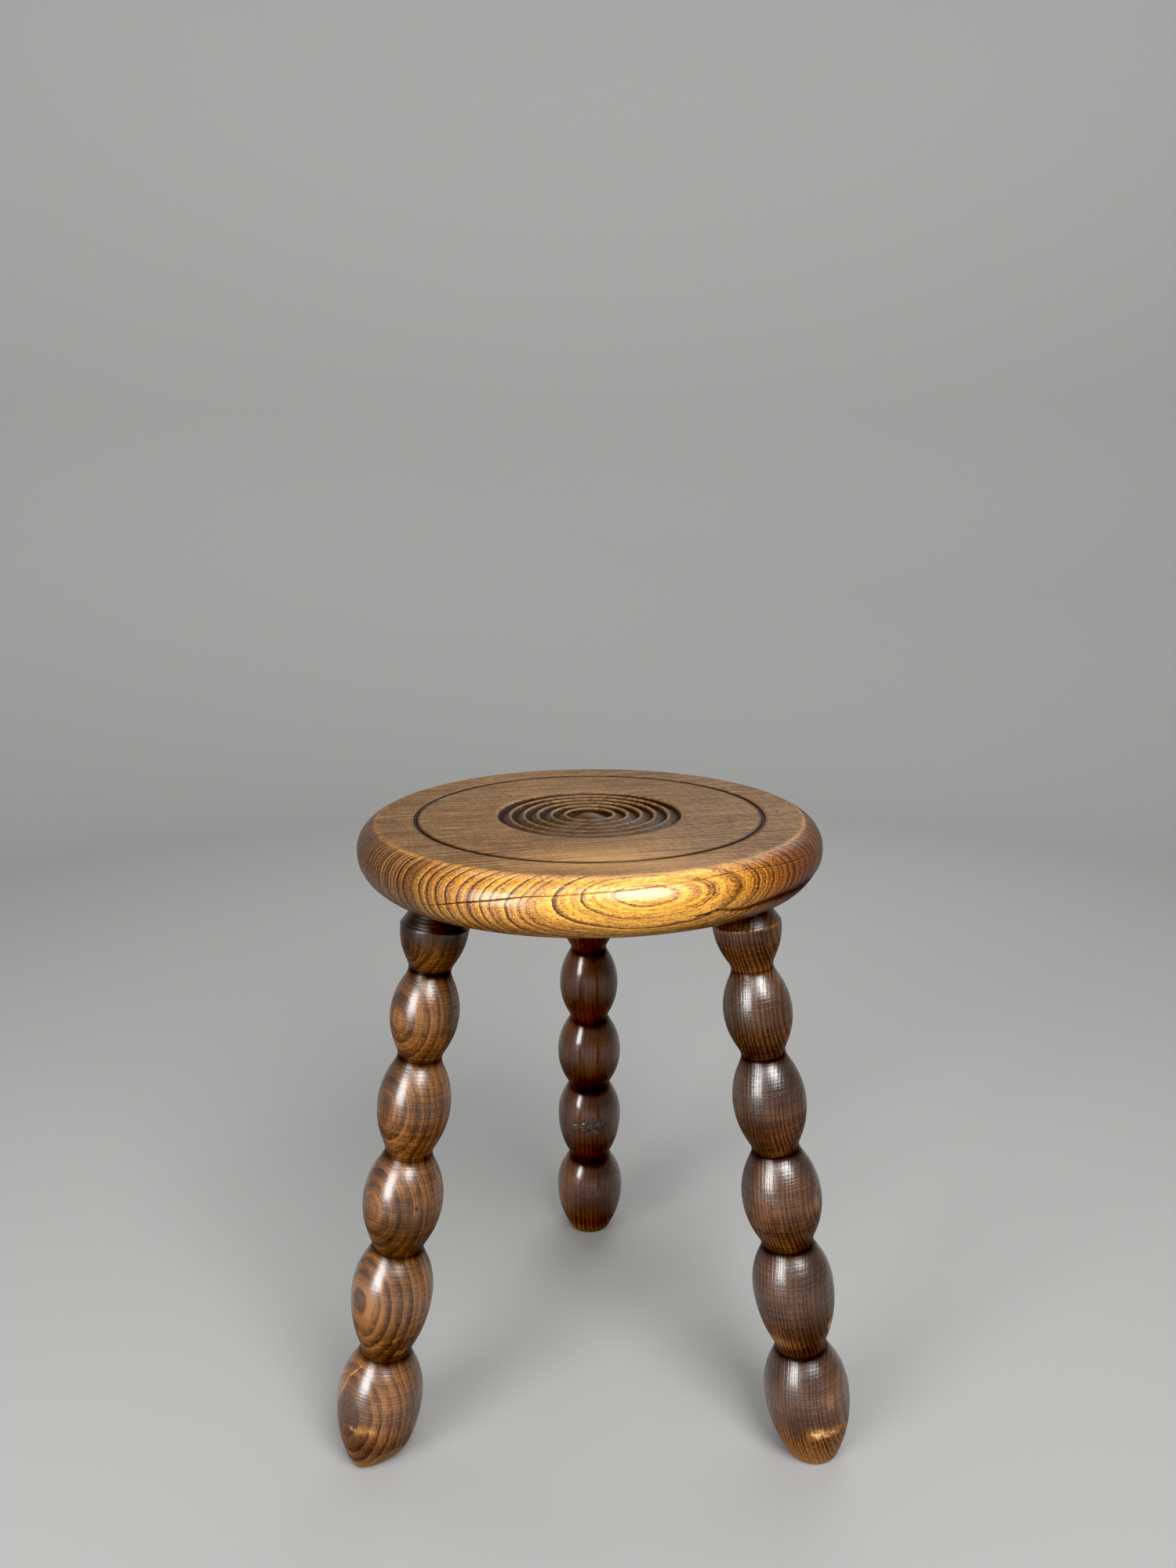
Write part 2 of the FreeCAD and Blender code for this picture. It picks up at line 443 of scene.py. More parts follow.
def seat_wood():
    """Golden ring-porous board: glossy on the rim, dull and greyed on the top, dark in the carving; its wear
    and dirt include painted light and shade.
    """
    look = Look("seat_wood")
    patina, dirt_and_shade, wear_and_painted_light, end, gloss = (look.value(name) for name in Cloud.names)
    grain, along = wood_grain(look)
    right_part = look.between(along, 10.0, 50.0)
    right_end = look.between(along, 25.0, 95.0)
    left_part = look.rest(look.between(along, -110.0, -20.0))
    left_end = look.rest(look.between(along, -142.0, -112.0))
    stretch = look.total((end, -0.35), (right_part, -0.4), (left_end, -0.33), start=1.0)
    band, lines, pores, fibres = wood_figure(
        look, grain, along, fuzz=0.16, pore_scale=(0.35, 2.2, 2.2), sway_share=0.5, band_stops=seat_band,
        stretch=stretch, number_shift=2110)
    contrast = look.total((right_end, 0.2), (left_part, 1.4), (left_end, 0.6), (end, 0.5), (dirt_and_shade, 1.2),
                          start=0.75)
    band = look.times(band, contrast)
    pores = look.times(pores, look.math("MULTIPLY_ADD", right_end, 1.2, 1.0))
    streaks = look.between(look.noise(grain, (0.004, 0.13, 0.13), 3.0, 0.6), 0.34, 0.66)
    rays = look.between(look.noise(grain, (0.7, 0.06, 2.4), 1.0), 0.35, 0.65)
    clouds = look.noise(grain, (0.012, 0.03, 0.05), 3.0)
    hairs = look.between(look.noise(grain, (0.007, 0.7, 0.7), 2.0), 0.52, 0.64)
    top_figure = look.times(look.total((streaks, 0.18), (hairs, 0.24), start=-0.06), patina)
    tone = look.total((band, 0.85), (pores, 0.75), (lines, 0.4), (fibres, 0.25), (rays, 0.16), (clouds, 0.4),
                      (end, 0.2), (top_figure, 1.0), start=-0.42)
    rim = rim_colour(look, tone, right_end, dirt_and_shade, end)
    colour = look.mix(patina, rim, top_colour(look, tone, grain))
    # Pale from wear and from painted light
    worn_and_lit = look.between(look.total((wear_and_painted_light, 1.0), (fibres, 0.3), (lines, 0.15)), 0.4, 1.1)
    colour = look.mix(worn_and_lit, colour, seat_worn_and_lit_colour)
    # Dark from dirt and painted shade
    grime_and_shade = seat_grime_and_shade(look, grain, patina, dirt_and_shade, fibres)
    colour = look.mix(grime_and_shade, colour, seat_dirt_and_shade_colour)
    roughness = look.total((patina, 0.1), (pores, 0.15), (clouds, 0.2), (lines, 0.08), start=0.27)
    height = look.total((pores, -0.18), (band, -0.07), (fibres, 0.05), (rays, 0.03))
    skin = look.total((pores, -0.03), (band, -0.02), (rays, 0.01))
    return look.finish(colour, roughness, height, skin, gloss, coat_roughness=0.22, coat_ior=1.5)


def lathe_lines(look, grain, along):
    """Thin scored lines round a turning, in patches: 1 on a line and 0 beside it."""
    beside = look.math("ABSOLUTE", look.math("SUBTRACT", look.line_noise(along, 0.5, 1.0), 0.5))
    patches = look.between(look.noise(grain, (0.04, 0.04, 0.04), 2.0), 0.3, 0.5)
    line = look.rest(look.between(beside, 0.03, 0.11))
    return look.times(line, patches)


def leg_wood(name, light, middle, dark, pore_scale, bands, ridges, scoring, coat_roughness):
    """Dark varnished turning: growth bands, open pores, lathe lines round it, worn bare places, lighter
    places from wear and painted light, and darker places from dirt and painted shade.
    """
    look = Look(name)
    grain, along = wood_grain(look)
    band, lines, pores, fibres = wood_figure(
        look, grain, along, fuzz=0.12, pore_scale=pore_scale, sway_share=0.35, band_stops=leg_band)
    dirt_and_shade = look.value("dirt_and_shade")
    wear_and_painted_light = look.value("wear_and_painted_light")
    turned = lathe_lines(look, grain, along)
    clouds = look.noise(grain, (0.02, 0.035, 0.035), 3.0)
    tone = look.total((band, bands), (pores, 0.4), (lines, 0.25), (fibres, 0.2), (turned, scoring),
                      (clouds, 1.3), start=-0.72)
    colour = look.ramp(tone, (0.0, light), (0.4, middle), (1.0, dark))
    # Pale from wear and from painted light
    worn_and_lit = look.between(look.total((wear_and_painted_light, 1.0), (fibres, 0.3), (lines, 0.2), (band, -0.4)), 0.4, 1.1)
    colour = look.mix(worn_and_lit, colour, leg_worn_and_lit_colour)
    bare = look.between(look.total((wear_and_painted_light, 1.0), (fibres, 0.5), (pores, -0.3)), 1.05, 1.5)
    colour = look.mix(bare, colour, leg_bare_colour)
    # Dark from dirt and painted shade
    grime_and_shade = look.between(look.total((dirt_and_shade, 1.0), (clouds, 0.4)), 0.3, 1.2)
    colour = look.mix(grime_and_shade, colour, leg_dirt_and_shade_colour)
    roughness = look.total((pores, 0.2), (clouds, 0.15), (worn_and_lit, 0.2), (turned, 0.1), start=0.28)
    height = look.total((pores, -0.12), (band, -ridges), (fibres, 0.05), (turned, -0.12))
    skin = look.total((pores, -0.01), (band, -0.4 * ridges), (turned, -0.15 * scoring))
    return look.finish(colour, roughness, height, skin, look.value("gloss"), coat_roughness, coat_ior=1.65)


def seat_top_outline():
    """(radius, height) points of the seat's top from the button out to the rim's top edge."""
    button_z = top_z - button_drop
    crests = [(inner_crest_radius, top_z - crest_drop)]
    cove_width = (rosette_radius - inner_crest_radius) / cove_count
    for number in range(1, cove_count + 1):
        height = top_z if number == cove_count else top_z - crest_drop
        crests.append((inner_crest_radius + number * cove_width, height))
    button_foot = (button_radius, button_z - button_height)
    points = [(button_flat_radius * share, button_z) for share in (0.5, 1.0)]
    points.append(((button_flat_radius + button_radius) / 2, button_z - 0.3 * button_height))
    points += cove(button_foot, crests[0], cove_depth, 14, cove_lean)
    for inner, outer in zip(crests, crests[1:]):
        points += cove(inner, outer, cove_depth, 12, cove_lean)
    groove_inner = (groove_radius - groove_width / 2, top_z)
    groove_outer = (groove_radius + groove_width / 2, top_z)
    points += [(radius, top_z) for radius in np.linspace(rosette_radius, groove_inner[0], 18, endpoint=False)]
    points += cove(groove_inner, groove_outer, groove_depth, 8)
    rim_edge = seat_radius - rim_inset_top
    points += [(radius, top_z) for radius in np.linspace(groove_outer[0], rim_edge, 10)]
    return np.array(points)


def rim_arcs():
    """Radius and length of the rim's arcs above and below its widest line."""
    run = top_z - rim_z
    circles = [(run ** 2 + inset ** 2) / (2 * inset) for inset in (rim_inset_top, rim_inset_bottom)]
    return [(circle, circle * math.asin(run / circle)) for circle in circles]


def rim_place(depth):
    """Radius, height and slope of the rim at distances along it below its top edge."""
    (upper_circle, upper_length), (lower_circle, _) = rim_arcs()
    circle = np.where(depth < upper_length, upper_circle, lower_circle)
    slope = (upper_length - depth) / circle
    radius = seat_radius - circle * (1 - np.cos(slope))
    return radius, rim_z + circle * np.sin(slope), slope


def rim_length():
    """Length of the rim's outline from its top edge to the underside."""
    return sum(length for _, length in rim_arcs())


def seat_plan(places):
    """Plan places around the seat's axis, measured along the grain and across it."""
    across_way = np.array([math.cos(layer_azimuth), math.sin(layer_azimuth)])
    along_way = np.array([-across_way[1], across_way[0]])
    return np.stack([places[..., :2] @ along_way, places[..., :2] @ across_way], axis=-1)


def seat_layers(points):
    """Grain coordinates and growth-layer count of the seat board at some points around its axis."""
    along, across = np.moveaxis(seat_plan(points), -1, 0)
    height = points[..., 2] - rim_z
    share = smooth_step(along, *tilt_change)
    tilt = layer_tilt_left + (layer_tilt_middle - layer_tilt_left) * share
    depth = across + height * np.tan(tilt) + 0.9 * waves(points[..., :2], 170.0, 3)
    random = np.random.default_rng(11)
    left_widths = random.uniform(2.2, 4.4, 24)
    rear_widths = random.uniform(2.4, 7.2, 36)
    widths = np.concatenate([front_layer_widths, left_widths, rear_widths])
    edges = outer_layer - np.concatenate([[0], np.cumsum(widths)])
    edges_in_front = [outer_layer + 40, outer_layer + 4.5]
    edges = np.concatenate([edges_in_front, edges])[::-1]
    return np.stack([along, across, height], axis=-1), layer_count(depth, edges)


def seat_top_rows():
    """Radius and height of the rows of the seat's top, with their corners softened by wear."""
    outline = seat_top_outline()
    soft = outline[:, 1].copy()
    soft[1:-1] = (outline[:-2, 1] + 2 * outline[1:-1, 1] + outline[2:, 1]) / 4
    radius = np.repeat(outline[:, :1], seat_columns, axis=1)
    return radius, np.repeat(soft[:, None], seat_columns, axis=1)


def rim_track(azimuth, track):
    """Distance below the top edge and half width of the crack or the streak at some azimuths."""
    return (np.interp(np.degrees(azimuth), track[:, 0], track[:, column]) for column in (1, 2))


def rim_streak_and_shade(azimuth, depth):
    """Dark streak low on the rim, from 1 along its middle to 0 beside it; where it widens on the right it is
    painted shade.
    """
    middle, half = rim_track(azimuth, rim_streak)
    return np.exp(-((depth - middle) / np.maximum(half, 0.3)) ** 2) * smooth_step(half, 0.0, 0.5)


def rim_rows(azimuth):
    """Radius, height and depth of the rim's rows, which follow its crack, and how open the crack is there."""
    centre, half = rim_track(azimuth, rim_crack)
    bank = np.maximum(half, 0.15)
    length = rim_length()
    margin = 1.6
    above = np.linspace(0, 1, 31)[1:, None] * (centre - margin)
    lips = centre + np.array([-0.9, 0.9])[:, None]
    slit = centre + np.array([-1.0, -0.5, 0.0, 0.5, 1.0])[:, None] * bank
    below = centre + margin + np.linspace(0, 1, 41)[:, None] * (length - centre - margin)
    depth = np.concatenate([above, lips[:1], slit, lips[1:], below])
    radius, height, slope = rim_place(depth)
    opening = np.clip(1 - np.abs(depth - centre) / bank, 0, 1) * smooth_step(half, 0.0, 0.2)
    places = np.stack([radius * np.cos(azimuth), radius * np.sin(azimuth), 3 * height], axis=-1)
    sink = crack_depth * opening + streak_depth * rim_streak_and_shade(azimuth, depth)
    sink += 0.12 * (1 + waves(places, 45.0, 5)) + 0.05 * (1 + waves(places, 14.0, 6))
    sink *= smooth_step(depth, 0, 4) * smooth_step(length - depth, 0, 3)
    return radius - sink * np.cos(slope), height - sink * np.sin(slope), depth, opening


def frontness(across):
    """1 at the seat's front edge, falling to 0 at its middle."""
    return smooth_step(-across / seat_radius, 0.2, 0.9)


def top_values(points):
    """Values of the seat's top: dark stain and painted shade in the hollows, crests pale from wear and a
    painted highlight, a lighter place at the front and little gloss.
    """
    radius = np.linalg.norm(points[..., :2], axis=-1)
    drop = top_z - points[..., 2]
    carved = radius < rosette_radius + 0.5
    crests = np.linspace(inner_crest_radius, rosette_radius, cove_count + 1)
    crest = np.exp(-(np.min(np.abs(radius[..., None] - crests), axis=-1) / 1.0) ** 2)
    cove_share = np.interp(radius, np.append(button_radius, crests), np.arange(cove_count + 2)) % 1
    outer_wall = smooth_step(cove_share, 0.4, 0.75)
    # Dark stain in the coves, stronger deeper down, and painted shade on each cove's outer wall
    hollow = 0.45 + 0.3 * smooth_step(drop, 0.4, 1.6) + 0.5 * outer_wall
    # Crests are kept clean; outside the carving, dirt and painted shade in the ring groove
    dirt_and_shade = np.where(carved, hollow * (1 - 0.75 * crest), 1.2 * smooth_step(drop, 0.0, 0.6))
    # Lighter colour at the front of the top
    lightened = np.exp(-((points[..., 0] - 10) / 80) ** 2 - ((points[..., 1] + 108) / 34) ** 2)
    arris = np.exp(-((seat_radius - rim_inset_top + 1.5 - radius) / 2.2) ** 2) * frontness(points[..., 1])
    # Crests pale from wear and a painted highlight, a lighter front, and a worn front edge
    wear_and_painted_light = np.maximum(np.maximum(0.2 * crest, 0.45 * lightened), 0.3 * arris)
    gloss = np.where(carved, 0.22 - 0.14 * outer_wall + 0.15 * crest, 0.2)
    return {"patina": 1.0, "dirt_and_shade": dirt_and_shade, "wear_and_painted_light": wear_and_painted_light, "gloss": gloss}


def rim_values(azimuth, depth, opening):
    """Values of the rim: dark crack, a dark streak that is painted shade where it widens, dirt and painted
    shade along the lower edge, a pale upper edge that is worn at the front and a painted glint on the right,
    end grain and polish.
    """
    low_edge = smooth_step(depth, rim_length() - 22, rim_length())
    patina = 1 - smooth_step(depth, -0.5, 4.5)
    right_side = smooth_step(np.cos(azimuth), 0.2, 0.9)
    across_grain = np.abs(np.cos(azimuth - layer_azimuth - math.pi / 2))
    end = across_grain * (1 - patina)
    streak_and_shade = rim_streak_and_shade(azimuth, depth)
    # Dark crack, the streak with its painted shade, and dirt with painted shade along the lower edge
    dirt_and_shade = np.maximum(1.2 * opening, 0.75 * streak_and_shade) + 0.6 * low_edge * (1 - streak_and_shade)
    # Worn pale upper edge at the front; on the right it is a painted glint
    lightened = np.maximum(frontness(seat_radius * np.sin(azimuth)), 1.4 * right_side)
    wear_and_painted_light = 0.3 * np.exp(-((depth - 1.5) / 2.2) ** 2) * lightened
    polish = (0.9 - 0.6 * low_edge) * (1 - 0.6 * across_grain ** 3) * (1 - 0.9 * streak_and_shade)
    polish *= 1 - 0.4 * right_side
    gloss = 0.2 * patina + polish * (1 - patina)
    return {"patina": patina, "dirt_and_shade": dirt_and_shade, "wear_and_painted_light": wear_and_painted_light, "end": end, "gloss": gloss}


class Cloud:
    """Points of the seat, gathered part by part with the values of their look."""

    names = ("patina", "dirt_and_shade", "wear_and_painted_light", "end", "gloss")

    def __init__(self):
        self.parts = []
        self.count = 0

    def add(self, points, values):
        """Adds points with their values, each an array or one number for all, and returns their numbers."""
        points = np.reshape(points, (-1, 3))
        columns = [np.broadcast_to(np.ravel(values.get(name, 0.0)), len(points)) for name in self.names]
        self.parts.append(np.column_stack([points, *columns]))
        self.count += len(points)
        return list(range(self.count - len(points), self.count))

    def points(self):
        return np.concatenate(self.parts)[:, :3]

    def attributes(self):
        return dict(zip(self.names, np.concatenate(self.parts)[:, 3:].T))


def add_mortise(cloud, foot):
    """A blind mortise for one leg: its faces, and the numbers and plan places of its mouth."""
    axis, outward, sideways = leg_directions(foot)
    angles = np.linspace(0, 2 * math.pi, mortise_columns, endpoint=False)[:, None]
    base = foot - [*axis_place, 0] + mortise_radius * (np.cos(angles) * outward + np.sin(angles) * sideways)
    mouth = base + (underside_z - base[:, 2:]) / axis[2] * axis
    end = base + (leg_length + mortise_depth) * axis
    mouth_numbers = cloud.add(mouth, {"patina": 0.6, "dirt_and_shade": 0.5})
    end_numbers = cloud.add(end, {"patina": 0.6, "dirt_and_shade": 0.9})
    middle = cloud.add(end.mean(axis=0), {"patina": 0.6, "dirt_and_shade": 0.9})
    faces = fan_faces(middle[0], end_numbers, turned_over=True)
    for number in range(mortise_columns):
        after = (number + 1) % mortise_columns
        faces.append((mouth_numbers[number], end_numbers[number], end_numbers[after], mouth_numbers[after]))
    return faces, mouth_numbers, mouth[:, :2]


def underside_spots(mouths):
    """Plan places spread over the seat's underside, clear of its edge and of the mortises."""
    spots = []
    for radius in np.arange(5, seat_radius - rim_inset_bottom - 3, 5):
        turns = np.arange(0, 2 * math.pi, 5 / radius)
        spots.append(radius * np.stack([np.cos(turns), np.sin(turns)], axis=-1))
    spots = np.concatenate(spots)
    for mouth in mouths:
        spots = spots[np.linalg.norm(spots - mouth.mean(axis=0), axis=-1) > mortise_radius + 3]
    return spots


def underside_faces(cloud, edge_numbers, edge, mouth_numbers, mouths):
    """Faces of the flat underside between the rim's lower edge and the mouths of the mortises."""
    spots = underside_spots(mouths)
    flat = np.column_stack([spots, np.full(len(spots), underside_z)])
    loops = [edge_numbers] + mouth_numbers
    numbers = np.concatenate(loops + [cloud.add(flat, {"patina": 0.75, "dirt_and_shade": 0.25})])
    loop_of = np.repeat(np.arange(len(loops)), [len(loop) for loop in loops])
    loop_of = np.concatenate([loop_of, np.full(len(spots), -1)])
    bounds = []
    start = 0
    for loop in loops:
        around = list(range(start, start + len(loop)))
        bounds += zip(around, around[1:] + around[:1])
        start += len(loop)
    places = [Vector(place) for place in np.concatenate([edge, *mouths, spots])]
    _, _, triangles, originals, _, _ = delaunay_2d_cdt(places, bounds, [], 0, 1e-6)
    faces = []
    for triangle in triangles:
        corners = [originals[corner][0] for corner in reversed(triangle)]
        across_a_mouth = loop_of[corners[0]] > 0 and len(set(loop_of[corners])) == 1
        if not across_a_mouth:
            faces.append(numbers[corners].tolist())
    return faces


def make_seat():
    """The seat board with its worn top, carving, cracked rim and the three mortises underneath."""
    azimuth = np.linspace(-math.pi, math.pi, seat_columns, endpoint=False)
    around = np.stack([np.cos(azimuth), np.sin(azimuth)], axis=-1)
    top_radius, top_height = seat_top_rows()
    rim_radius, rim_height, depth, opening = rim_rows(azimuth)
    top = np.dstack([top_radius[..., None] * around, top_height])
    rim = np.dstack([rim_radius[..., None] * around, rim_height])

    cloud = Cloud()
    top_numbers = cloud.add(top, top_values(top))
    rim_numbers = cloud.add(rim, rim_values(azimuth, depth, opening))
    button = cloud.add((0, 0, top_z - button_drop), {"patina": 1.0, "dirt_and_shade": 0.25})
    faces = grid_faces(len(top) + len(rim), seat_columns, turned_over=True)
    faces += fan_faces(button[0], top_numbers[:seat_columns])
    mouth_numbers = []
    mouths = []
    for foot in foot_points.values():
        mortise_faces, numbers, mouth = add_mortise(cloud, foot)
        faces += mortise_faces
        mouth_numbers.append(numbers)
        mouths.append(mouth)
    faces += underside_faces(cloud, rim_numbers[-seat_columns:], rim[-1, :, :2], mouth_numbers, mouths)

    attributes = cloud.attributes()
    attributes["grain"], attributes["ring"] = seat_layers(cloud.points())
    seat = make_mesh("seat_board", cloud.points() + [*axis_place, 0], faces, attributes, seat_wood())
    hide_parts("seat")
    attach(seat, "root")


def leg_radius(height):
    """Radius of a leg at some heights along its axis."""
    stops = [ring_height, ring_height + cone_height, tenon_end - tenon_chamfer, tenon_end]
    radius = np.interp(height, stops, [cup_radius, tenon_radius, tenon_radius, tenon_radius - tenon_chamfer])
    upper_neck = (bobbins[-1][3], neck_heights[-1])
    cup = swell_radius(height, upper_neck, (cup_radius, ring_height))
    radius = np.where(height < ring_height, cup, radius)
    for number in reversed(range(len(bobbins))):
        bobbin_height, widest_radius, share, neck_radius = bobbins[number]
        top = neck_heights[number]
        base = top - bobbin_height
        lower_neck_radius = foot_radius if number == 0 else bobbins[number - 1][3]
        widest = (widest_radius, base + share * bobbin_height)
        radius = np.where(height < top, swell_radius(height, (neck_radius, top), widest), radius)
        radius = np.where(height < widest[1], swell_radius(height, (lower_neck_radius, base), widest), radius)
    return radius


def bobbin_share(height):
    """Place within a bobbin, from 0 at its lower neck to 1 at its upper one."""
    edges = np.concatenate([[0], neck_heights, [leg_length]])
    number = np.clip(np.searchsorted(edges, height, side="right") - 1, 0, len(edges) - 2)
    return (height - edges[number]) / (edges[number + 1] - edges[number])


def leg_rows():
    """Heights of a leg's rows of points, close together and exact at its necks and edges."""
    even = np.arange(0, ring_height - 0.5, leg_row_height)
    at_necks = [height + offset for height in neck_heights for offset in (-0.3, 0.0, 0.3)]
    upper = [ring_height - 0.4, ring_height, ring_height + 0.4]
    upper += list(np.linspace(ring_height + 1.5, ring_height + cone_height, 16))
    upper += list(np.linspace(ring_height + cone_height + 1, tenon_end - tenon_chamfer, 16)) + [tenon_end]
    near = np.min(np.abs(even[:, None] - neck_heights), axis=1) < 0.6
    return np.unique(np.concatenate([even[~near], at_necks, upper]))


def neck_gap(height):
    """Distance along a leg from some heights to its nearest neck."""
    return np.min(np.abs(height[..., None] - neck_heights), axis=-1)


def leg_surface(angle):
    """Radius and height of a leg's rows of points, and the height at which its foot is sawn level."""
    height = np.repeat(leg_rows()[:, None], leg_columns, axis=1)
    sawn = np.zeros(leg_columns)
    for _ in range(6):
        sawn = -leg_radius(sawn) * np.cos(angle) * math.tan(lean)

    # The lowest rows bend to the floor and are rounded off there
    height = height + np.clip(1 - height / foot_bend_height, 0, 1) * sawn
    lift = np.clip((height - sawn) / foot_round_height, 0, 1)
    return leg_radius(height) - foot_round_depth * (1 - lift) ** 2, height, sawn


def turning_sink(angle, height, seed):
    """How far a leg lies below its outline: uneven hand turning up to the ring, and softened necks."""
    around = [wave_radius * np.cos(angle), wave_radius * np.sin(angle)]
    places = np.stack(np.broadcast_arrays(*around, height), axis=-1)
    uneven = 0.1 * (1 + waves(places, 60.0, seed)) + 0.03 * (1 + waves(places, 12.0, seed + 1))
    gap = neck_gap(height)
    softening = gap - np.hypot(gap, neck_softness) + neck_cut_share * neck_softness
    covered = smooth_step(height, ring_height - 2, ring_height)
    return (1 - covered) * uneven + neck_slope * softening * np.exp(-gap / neck_reach)


def leg_values(height, sawn):
    """Painted shade in the necks and under the seat, wear at the foot, lighter colour towards the foot, a
    painted highlight along the ring's edge, and gloss on the shoulders.
    """
    gap = neck_gap(height)
    # Painted shade in and around the necks
    dirt_and_shade = 0.3 * np.exp(-(gap / 2.5) ** 2) + 0.45 * np.exp(-gap / neck_reach)
    # Painted shade on the upper cup and the cone, under the seat
    dirt_and_shade += 0.6 * smooth_step(height, ring_height - 24, ring_height + 6)
    # Wear at the foot, and lighter colour towards the foot
    wear_and_painted_light = 0.5 * np.exp(-(height - sawn) / 16) + 0.15 * smooth_step(-height, -200, -60)
    # Painted highlight along the ring's edge
    wear_and_painted_light += 0.3 * np.exp(-((height - ring_height) / 1.0) ** 2)
    gloss = 0.15 + 0.85 * smooth_step(bobbin_share(height), 0.25, 0.75) * smooth_step(gap, 0.5, 7)
    return dirt_and_shade, wear_and_painted_light, gloss


def leg_growth(points, growth_angle, pith, layer_width, seed):
    """Grain coordinates and growth-layer count of a leg at some of its own points."""
    across = points[:, 0] * math.cos(growth_angle) + points[:, 1] * math.sin(growth_angle)
    beside = points[:, 1] * math.cos(growth_angle) - points[:, 0] * math.sin(growth_angle)
    sway = 0.8 * waves(points[:, 2:], 150.0, seed + 2)
    depth = np.hypot(across + pith + sway, beside)
    random = np.random.default_rng(seed)
    layers = int(2 * (pith + 60) / layer_width)
    edges = np.cumsum(random.uniform(0.65 * layer_width, 1.4 * layer_width, layers))
    return np.stack([points[:, 2], across, beside], axis=-1), layer_count(depth, edges)


def make_leg(node, wood, growth_angle, pith, layer_width, seed, marks):
    """One turned leg, cut from a log with its pith some way off the leg's axis, on the side away from the
    growth angle; marks adds the leg's own dents and worn places."""
    angle = np.linspace(0, 2 * math.pi, leg_columns, endpoint=False)
    radius, height, sawn = leg_surface(angle)
    dirt_and_shade, wear_and_painted_light, gloss = leg_values(height, sawn)
    turned_angle = np.broadcast_to(np.degrees(angle), height.shape)
    mark_sink, mark_dirt_and_shade, mark_wear_and_light, knot = marks(turned_angle, height, radius)
    radius = radius - turning_sink(angle, height, seed) - mark_sink
    height[0] = -radius[0] * np.cos(angle) * math.tan(lean)

    rows = np.stack([radius * np.cos(angle), radius * np.sin(angle), height], axis=-1)
    end_middles = [(0, 0, 0), (0, 0, tenon_end)]
    points = np.concatenate([rows.reshape(-1, 3), end_middles])
    ends = len(points) - 2
    faces = grid_faces(len(rows), leg_columns)
    faces += fan_faces(ends, list(range(leg_columns)), turned_over=True)
    faces += fan_faces(ends + 1, list(range(ends - leg_columns, ends)))

    grain, ring = leg_growth(points, growth_angle, pith, layer_width, seed)
    attributes = {
        "grain": grain,
        "ring": ring + np.append(knot.ravel(), [0, 0]),
        "dirt_and_shade": np.append(dirt_and_shade + mark_dirt_and_shade, [0.4, 0.4]),
        "wear_and_painted_light": np.append(wear_and_painted_light + mark_wear_and_light, [0.6, 0.0]),
        "gloss": np.append(gloss, [0.1, 0.1]),
    }
    foot = foot_points[node]
    axis, outward, sideways = leg_directions(foot)
    placed = foot + points[:, :1] * outward + points[:, 1:2] * sideways + points[:, 2:] * axis
    leg = make_mesh(node + "_turning", placed, faces, attributes, wood)
    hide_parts(node)
    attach(leg, "root")


def turn_from(start, angle):
    """Shortest turn in radians from one angle to others, given in degrees."""
    return np.radians((angle - start + 180) % 360 - 180)


def spot(angle, height, radius, at_angle, at_height, width, tall):
    """Soft spot on a leg, from 1 at its middle to 0 around it; width and tall in millimetres."""
    across = turn_from(at_angle, angle) * radius
    return np.exp(-(across / width) ** 2 - ((height - at_height) / tall) ** 2)


def gouge(angle, height, radius, path, width):
    """Narrow mark along a path of (angle, height) points, from 1 on it to 0 beside it."""
    middle = path[0][0]
    across = turn_from(middle, angle) * radius
    typical = 22.0
    flat = [(turn_from(middle, turn) * typical, up) for turn, up in path]
    return np.exp(-(path_gap(across * typical / np.maximum(radius, 1), height, flat) / width) ** 2)


def ragged(angle, height, radius, seed):
    """Uneven pattern over a leg's surface, mostly from 0 to 1, that breaks up a worn place."""
    surface = np.stack([np.radians(angle) * radius, height], axis=-1)
    return np.clip(0.6 + 0.7 * waves(surface, 6.0, seed) + 0.5 * waves(surface, 3.0, seed + 1), 0, 1.5)


